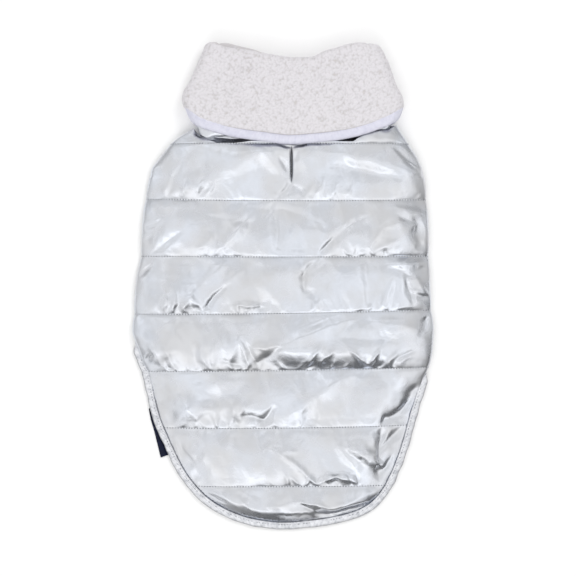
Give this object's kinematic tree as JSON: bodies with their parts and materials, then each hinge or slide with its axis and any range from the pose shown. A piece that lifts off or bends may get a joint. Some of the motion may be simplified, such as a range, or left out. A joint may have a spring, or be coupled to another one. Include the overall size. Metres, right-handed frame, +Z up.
{
  "type": "dog puffer vest",
  "caption": "Quilted silver foil dog vest laid flat on its belly, with a turned-down pile collar, a slit for the lead and a bound, rounded tail",
  "frame": {"origin": "middle of the bounding box's bottom face, on the surface that the vest lies on", "axes": "+X to the right of the vest seen from above with the neck away from the viewer, +Y from the tail to the neck, +Z up"},
  "size_m": [0.3257, 0.527, 0.0284],
  "materials": {
    "silver_foil_cloth": "metallic foil, glossy",
    "white_pile": "curly pile, matte",
    "lilac_binding": "matte woven tape",
    "silver_binding": "satin tape",
    "navy_tag": "matte woven tape"
  },
  "bodies": {
    "root": {"back_panel": "silver_foil_cloth", "belly_panel": "silver_foil_cloth", "belly_binding": "silver_binding", "hem_binding": "silver_binding", "side_tag": "navy_tag", "collar_lining": "white_pile", "collar_shell": "silver_foil_cloth", "collar_binding": "lilac_binding"}
  },
  "joints": []
}
